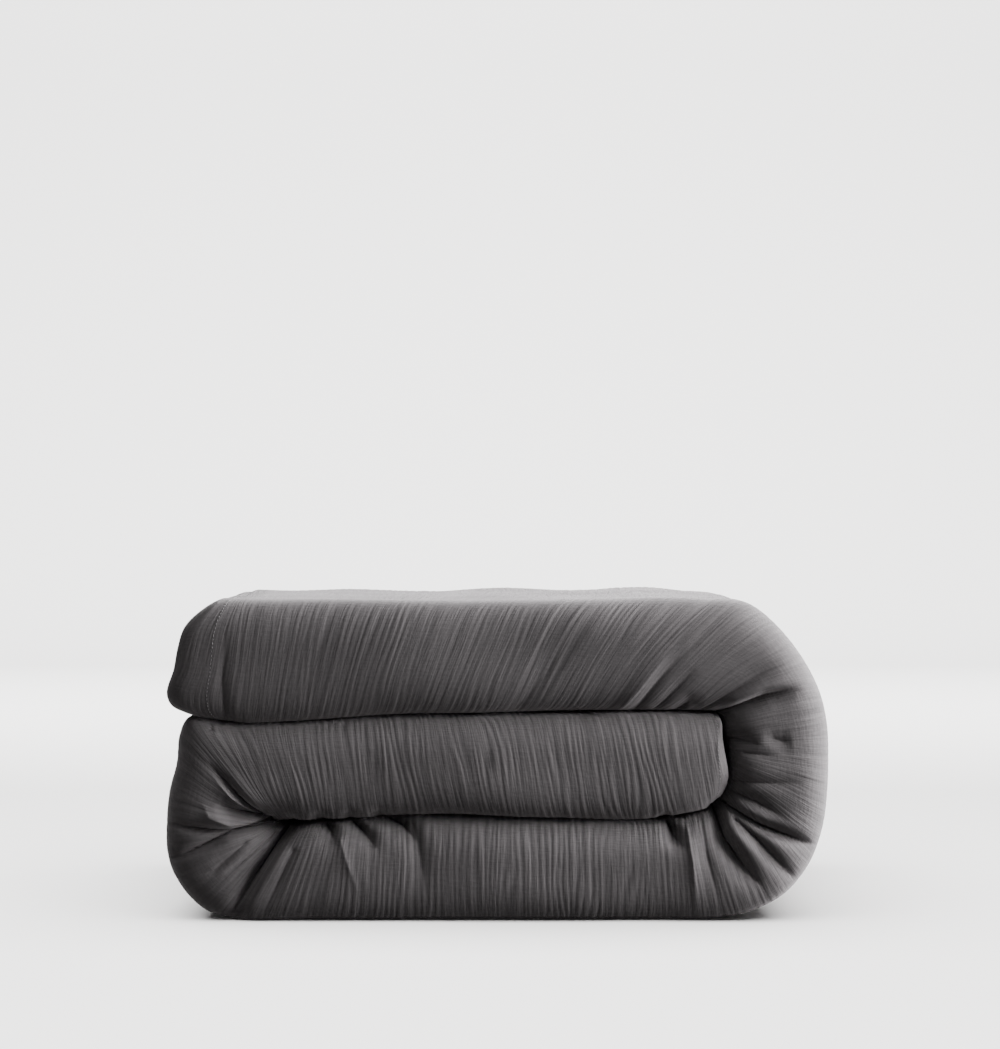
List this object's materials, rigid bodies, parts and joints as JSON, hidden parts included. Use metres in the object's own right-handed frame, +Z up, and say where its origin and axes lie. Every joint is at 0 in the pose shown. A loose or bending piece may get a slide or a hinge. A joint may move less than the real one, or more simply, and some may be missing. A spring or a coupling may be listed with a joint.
{
  "type": "folded duvet",
  "caption": "Charcoal double-gauze cotton duvet folded in four lengthwise and in three like a letter, buttoned cover over a filled insert.",
  "frame": {"origin": "centre of the folded duvet's underside", "axes": "+X towards the bend that wraps the tucked layer, +Y towards the open side seams, so the closed folds face -Y, +Z up"},
  "size_m": [0.664, 0.52, 0.32],
  "materials": {
    "double_gauze": "matte",
    "shell_cotton": "matte",
    "wadding": "matte",
    "twill_tape": "matte",
    "buttons": "satin"
  },
  "bodies": {
    "base": {"cover_face_base": "double_gauze", "cover_back_base": "double_gauze", "insert_shell_face_base": "shell_cotton", "insert_shell_back_base": "shell_cotton", "insert_fill_base": "wadding", "side_seam_outer_base": "double_gauze", "side_seam_inner_base": "double_gauze", "head_seam": "double_gauze", "corner_tie_head_outer": "twill_tape", "corner_tie_head_inner": "twill_tape", "insert_loop_head_outer": "twill_tape", "insert_loop_head_inner": "twill_tape"},
    "bend": {"cover_face_bend": "double_gauze", "cover_back_bend": "double_gauze", "insert_shell_face_bend": "shell_cotton", "insert_shell_back_bend": "shell_cotton", "insert_fill_bend": "wadding", "side_seam_outer_bend": "double_gauze", "side_seam_inner_bend": "double_gauze"},
    "flap": {"cover_face_flap": "double_gauze", "cover_back_flap": "double_gauze", "insert_shell_face_flap": "shell_cotton", "insert_shell_back_flap": "shell_cotton", "insert_fill_flap": "wadding", "side_seam_outer_flap": "double_gauze", "side_seam_inner_flap": "double_gauze", "foot_hem_face": "double_gauze", "foot_hem_back": "double_gauze", "button_1": "buttons", "button_2": "buttons", "button_3": "buttons", "button_4": "buttons", "button_5": "buttons", "button_6": "buttons", "button_7": "buttons", "button_8": "buttons", "corner_tie_foot_outer": "twill_tape", "corner_tie_foot_inner": "twill_tape", "insert_loop_foot_outer": "twill_tape", "insert_loop_foot_inner": "twill_tape"}
  },
  "joints": [
    {"name": "bend_fold", "type": "hinge", "parent": "base", "child": "bend", "pos_m": [0.2948, 0, 0.0372], "axis": [0, 1, 0], "range_deg": [0, 90]},
    {"name": "flap_fold", "type": "hinge", "parent": "bend", "child": "flap", "pos_m": [0.2948, 0, 0.2828], "axis": [0, 1, 0], "range_deg": [0, 90]}
  ]
}
